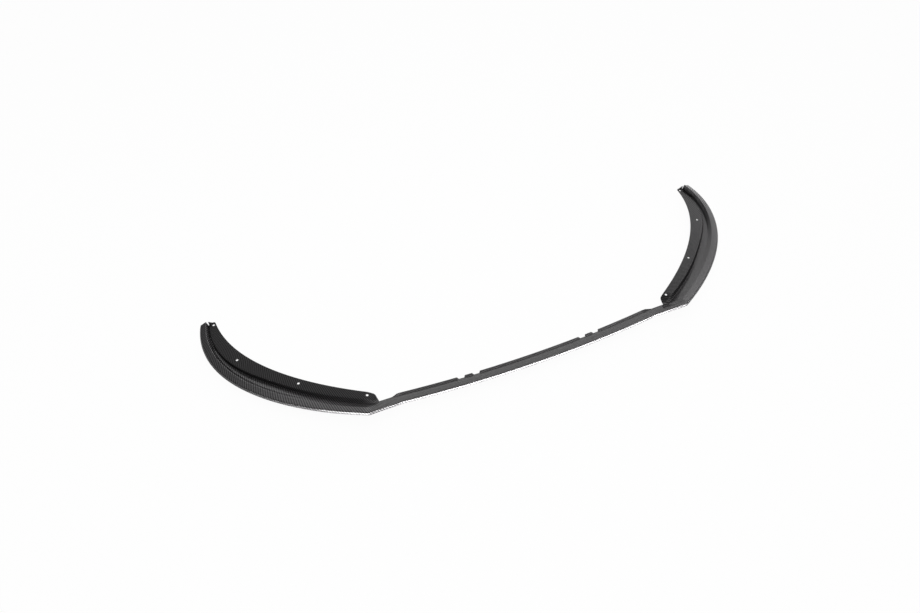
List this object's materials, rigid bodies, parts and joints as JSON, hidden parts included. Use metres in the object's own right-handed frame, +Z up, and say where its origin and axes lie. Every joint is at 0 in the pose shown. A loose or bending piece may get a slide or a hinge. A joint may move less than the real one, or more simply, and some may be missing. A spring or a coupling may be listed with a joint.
{
  "type": "front splitter lip",
  "caption": "Carbon-fibre front splitter lip for a car: a notched, bowed strip that steps at mitred corners into swept wings with a raised rim, a valley and level drilled flanges.",
  "frame": {"origin": "bottom centre of the bounding box: on the car's mirror plane, half-way between the strip's front edge and the wing tips, at the level of the hem's underside", "axes": "+X across the car, +Y from the front of the car towards its rear, +Z up; the two flanges are level, as fitted"},
  "size_m": [1.7532, 0.509, 0.0546],
  "materials": {
    "clear_coated_carbon_twill": "black carbon-fibre twill laminate under a clear gloss coat"
  },
  "bodies": {
    "root": {"splitter_lip": "clear_coated_carbon_twill"}
  },
  "joints": []
}
